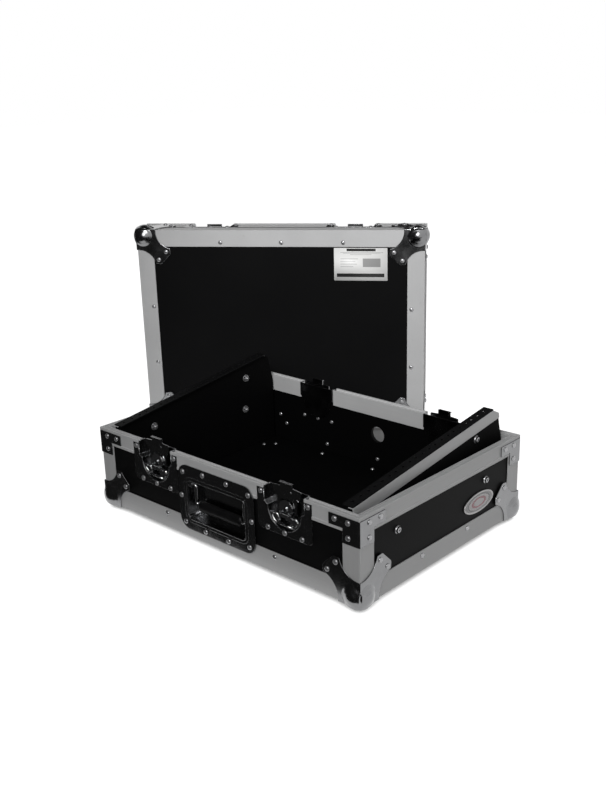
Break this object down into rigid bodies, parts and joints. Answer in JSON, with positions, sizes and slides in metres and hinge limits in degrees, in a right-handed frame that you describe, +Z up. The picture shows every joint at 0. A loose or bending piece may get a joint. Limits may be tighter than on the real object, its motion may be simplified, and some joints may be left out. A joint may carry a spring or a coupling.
{
  "type": "mixer flight case",
  "caption": "Shallow rack-width mixer flight case with ball corners, twist latches, recessed handle, sloping rack cheeks and a lift-off lid.",
  "frame": {"origin": "top of the base's front rim, on its outer lip, midway across the case", "axes": "+Z up, -Y towards the front with the handle, +X to the right side with the badge"},
  "size_m": [0.8092, 0.6412, 0.3894],
  "materials": {
    "aluminium": "satin, slightly scuffed",
    "black_laminate": "black laminate on plywood, fine grain",
    "chromed_steel": "bright plated steel",
    "black_rubber": "matte moulded grip",
    "black_painted_steel": "satin black paint",
    "badge_metal": "brushed, with a plain centre"
  },
  "bodies": {
    "base": {"base_floor_board": "black_laminate", "base_front_board": "black_laminate", "base_right_board": "black_laminate", "base_rear_board": "black_laminate", "base_left_board": "black_laminate", "base_front_bottom_edge": "aluminium", "base_right_bottom_edge": "aluminium", "base_rear_bottom_edge": "aluminium", "base_left_bottom_edge": "aluminium", "base_front_rim_middle": "aluminium", "base_rear_rim_middle": "aluminium", "base_left_rim": "aluminium", "base_right_rim": "aluminium", "base_corner_angle_front_left": "aluminium", "base_corner_angle_front_right": "aluminium", "base_corner_angle_rear_right": "aluminium", "base_corner_angle_rear_left": "aluminium", "base_ball_corner_front_left": "chromed_steel", "base_ball_corner_front_right": "chromed_steel", "base_ball_corner_rear_right": "chromed_steel", "base_ball_corner_rear_left": "chromed_steel", "latch_front_left_dish": "chromed_steel", "latch_front_right_dish": "chromed_steel", "latch_rear_left_dish": "chromed_steel", "latch_rear_right_dish": "chromed_steel", "handle_dish": "chromed_steel", "rack_cheek_left": "black_laminate", "rack_cheek_right": "black_laminate", "cheek_cap_left": "aluminium", "cheek_cap_right": "aluminium", "rack_rail_left": "black_painted_steel", "rack_rail_right": "black_painted_steel", "badge": "badge_metal"},
    "handle": {"handle_bail": "chromed_steel", "handle_grip": "black_rubber"},
    "latch_front_left_cam": {"latch_front_left_cam": "chromed_steel"},
    "latch_front_left_hook": {"latch_front_left_hook": "chromed_steel"},
    "latch_front_left_wing": {"latch_front_left_wing": "chromed_steel"},
    "latch_front_right_cam": {"latch_front_right_cam": "chromed_steel"},
    "latch_front_right_hook": {"latch_front_right_hook": "chromed_steel"},
    "latch_front_right_wing": {"latch_front_right_wing": "chromed_steel"},
    "latch_rear_left_cam": {"latch_rear_left_cam": "chromed_steel"},
    "latch_rear_left_hook": {"latch_rear_left_hook": "chromed_steel"},
    "latch_rear_left_wing": {"latch_rear_left_wing": "chromed_steel"},
    "latch_rear_right_cam": {"latch_rear_right_cam": "chromed_steel"},
    "latch_rear_right_hook": {"latch_rear_right_hook": "chromed_steel"},
    "latch_rear_right_wing": {"latch_rear_right_wing": "chromed_steel"},
    "lid": {"lid_top_board": "black_laminate", "lid_side_boards": "black_laminate", "lid_edge_frame": "aluminium", "lid_rim": "aluminium", "lid_catch_front_left": "chromed_steel", "lid_catch_front_right": "chromed_steel", "lid_catch_rear_left": "chromed_steel", "lid_catch_rear_right": "chromed_steel", "lid_ball_corner_front_left": "chromed_steel", "lid_ball_corner_front_right": "chromed_steel", "lid_ball_corner_rear_right": "chromed_steel", "lid_ball_corner_rear_left": "chromed_steel"}
  },
  "joints": [
    {"name": "handle_fold", "type": "hinge", "parent": "base", "child": "handle", "pos_m": [0, 0.00625, -0.043], "axis": [-1, 0, 0], "range_deg": [0, 90], "stiffness_Nm_per_rad": 0.25},
    {"name": "latch_front_left_twist", "type": "hinge", "parent": "base", "child": "latch_front_left_cam", "pos_m": [-0.1325, -0.00025, -0.0265], "axis": [0, -1, 0], "range_deg": [0, 180]},
    {"name": "latch_front_left_draw", "type": "slide", "parent": "base", "child": "latch_front_left_hook", "axis": [0, 0, -1], "range_m": [0, 0.006]},
    {"name": "latch_front_left_fold", "type": "hinge", "parent": "latch_front_left_cam", "child": "latch_front_left_wing", "pos_m": [-0.1325, 0.00155, -0.0325], "axis": [-1, 0, 0], "range_deg": [0, 90]},
    {"name": "latch_front_right_twist", "type": "hinge", "parent": "base", "child": "latch_front_right_cam", "pos_m": [0.1325, -0.00025, -0.0265], "axis": [0, -1, 0], "range_deg": [0, 180]},
    {"name": "latch_front_right_draw", "type": "slide", "parent": "base", "child": "latch_front_right_hook", "axis": [0, 0, -1], "range_m": [0, 0.006]},
    {"name": "latch_front_right_fold", "type": "hinge", "parent": "latch_front_right_cam", "child": "latch_front_right_wing", "pos_m": [0.1325, 0.00155, -0.0325], "axis": [-1, 0, 0], "range_deg": [0, 90]},
    {"name": "latch_rear_left_twist", "type": "hinge", "parent": "base", "child": "latch_rear_left_cam", "pos_m": [-0.1325, 0.37175, -0.0265], "axis": [0, 1, 0], "range_deg": [0, 180]},
    {"name": "latch_rear_left_draw", "type": "slide", "parent": "base", "child": "latch_rear_left_hook", "axis": [0, 0, -1], "range_m": [0, 0.006]},
    {"name": "latch_rear_left_fold", "type": "hinge", "parent": "latch_rear_left_cam", "child": "latch_rear_left_wing", "pos_m": [-0.1325, 0.36995, -0.0325], "axis": [1, 0, 0], "range_deg": [0, 90]},
    {"name": "latch_rear_right_twist", "type": "hinge", "parent": "base", "child": "latch_rear_right_cam", "pos_m": [0.1325, 0.37175, -0.0265], "axis": [0, 1, 0], "range_deg": [0, 180]},
    {"name": "latch_rear_right_draw", "type": "slide", "parent": "base", "child": "latch_rear_right_hook", "axis": [0, 0, -1], "range_m": [0, 0.006]},
    {"name": "latch_rear_right_fold", "type": "hinge", "parent": "latch_rear_right_cam", "child": "latch_rear_right_wing", "pos_m": [0.1325, 0.36995, -0.0325], "axis": [1, 0, 0], "range_deg": [0, 90]},
    {"name": "lid_lift", "type": "slide", "parent": "base", "child": "lid", "axis": [0, 0, 1], "range_m": [0, 0.35]}
  ],
  "couplings": [
    {"joint": "latch_front_left_draw", "follows": "latch_front_left_twist", "m_per_rad": 0.0019099},
    {"joint": "latch_front_right_draw", "follows": "latch_front_right_twist", "m_per_rad": 0.0019099},
    {"joint": "latch_rear_left_draw", "follows": "latch_rear_left_twist", "m_per_rad": 0.0019099},
    {"joint": "latch_rear_right_draw", "follows": "latch_rear_right_twist", "m_per_rad": 0.0019099}
  ]
}
